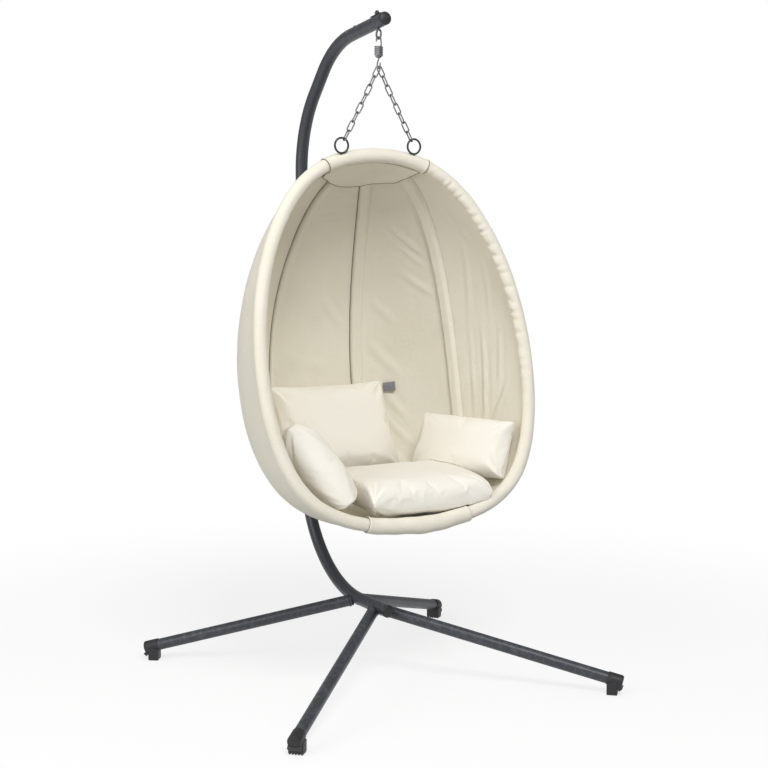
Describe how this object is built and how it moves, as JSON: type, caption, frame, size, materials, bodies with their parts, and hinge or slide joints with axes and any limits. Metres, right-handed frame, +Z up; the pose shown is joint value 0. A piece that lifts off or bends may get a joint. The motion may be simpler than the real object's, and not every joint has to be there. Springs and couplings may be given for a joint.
{
  "type": "hanging pod chair",
  "caption": "Egg-shaped fabric pod seat with loose cushions, hung by a spring and chains from a C-shaped tube stand on sloping legs.",
  "frame": {"origin": "on the floor, midway between the four feet", "axes": "+Z up, the sitter faces -Y, +X to the right as seen from the front"},
  "size_m": [1.0916, 1.0585, 1.9621],
  "materials": {
    "stand_paint": "satin powder coat",
    "hoop_paint": "satin powder coat",
    "black_plastic": "matte moulded",
    "zinc_steel": "zinc plated",
    "pod_fabric": "woven polyester",
    "cushion_fabric": "woven polyester",
    "tab_webbing": "webbing"
  },
  "bodies": {
    "stand": {"pole_lower_tube": "stand_paint", "pole_middle_tube": "stand_paint", "lower_joint_sleeve": "zinc_steel", "upper_joint_sleeve": "zinc_steel", "lower_joint_screw": "zinc_steel", "upper_joint_screw": "zinc_steel", "arm_end_plug": "black_plastic", "base_end_plug": "black_plastic", "leg_front_left": "stand_paint", "leg_front_right": "stand_paint", "leg_rear_left": "stand_paint", "leg_rear_right": "stand_paint", "foot_front_left": "black_plastic", "foot_front_right": "black_plastic", "foot_rear_left": "black_plastic", "foot_rear_right": "black_plastic", "pole_arm_tube": "stand_paint", "eye_bolt": "zinc_steel", "saddle_washer": "zinc_steel", "eye_nut": "zinc_steel"},
    "spring": {"suspension_spring": "zinc_steel"},
    "collar": {"hook_collar": "zinc_steel"},
    "hook": {"spring_hook": "zinc_steel", "chain_left_link_1": "zinc_steel", "chain_left_link_2": "zinc_steel", "chain_right_link_1": "zinc_steel", "chain_right_link_2": "zinc_steel"},
    "chains": {"chain_left_link_3": "zinc_steel", "chain_left_link_4": "zinc_steel", "chain_left_link_5": "zinc_steel", "chain_left_link_6": "zinc_steel", "chain_left_link_7": "zinc_steel", "chain_left_link_8": "zinc_steel", "chain_right_link_3": "zinc_steel", "chain_right_link_4": "zinc_steel", "chain_right_link_5": "zinc_steel", "chain_right_link_6": "zinc_steel", "chain_right_link_7": "zinc_steel", "chain_right_link_8": "zinc_steel"},
    "pod": {"hoop_left_half": "hoop_paint", "hoop_right_half": "hoop_paint", "hoop_top_spigot": "zinc_steel", "hoop_bottom_spigot": "zinc_steel", "rib_rod_1": "black_plastic", "rib_rod_2": "black_plastic", "rib_rod_3": "black_plastic", "rib_rod_4": "black_plastic", "upper_rib_bracket": "black_plastic", "lower_rib_bracket": "black_plastic", "pod_shell": "pod_fabric", "roof_panel": "pod_fabric", "webbing_tab": "tab_webbing", "left_hoop_sleeve": "pod_fabric", "right_hoop_sleeve": "pod_fabric", "top_flap": "pod_fabric", "bottom_flap": "pod_fabric", "seat_cushion": "cushion_fabric"},
    "back_cushion_body": {"back_cushion": "cushion_fabric"},
    "left_arm_cushion_body": {"left_arm_cushion": "cushion_fabric"},
    "right_arm_cushion_body": {"right_arm_cushion": "cushion_fabric"}
  },
  "joints": [
    {"name": "swing_sideways", "type": "hinge", "parent": "stand", "child": "spring", "pos_m": [0, -0.022, 1.88043], "axis": [0, 1, 0], "range_deg": [-15, 15]},
    {"name": "spring_stretch", "type": "slide", "parent": "spring", "child": "collar", "axis": [0, 0, -1], "range_m": [0, 0.03], "stiffness_N_per_m": 30000, "springref_m": -0.0045, "deforming": ["suspension_spring"]},
    {"name": "twist", "type": "hinge", "parent": "collar", "child": "hook", "pos_m": [0, -0.022, 1.82803], "axis": [0, 0, 1], "range_deg": [-30, 30]},
    {"name": "swing_fore_aft", "type": "hinge", "parent": "hook", "child": "chains", "pos_m": [0, -0.02145, 1.75025], "axis": [1, 0, 0], "range_deg": [-25, 1]},
    {"name": "pod_tilt", "type": "hinge", "parent": "chains", "child": "pod", "pos_m": [0, -0.01927, 1.5955], "axis": [1, 0, 0], "range_deg": [-10, 1]},
    {"name": "lift_back_cushion", "type": "slide", "parent": "pod", "child": "back_cushion_body", "axis": [0, -0.0995, 0.995], "range_m": [0, 0.25]},
    {"name": "lift_left_arm_cushion", "type": "slide", "parent": "pod", "child": "left_arm_cushion_body", "axis": [0, 0, 1], "range_m": [0, 0.3]},
    {"name": "lift_right_arm_cushion", "type": "slide", "parent": "pod", "child": "right_arm_cushion_body", "axis": [0, 0, 1], "range_m": [0, 0.3]}
  ]
}
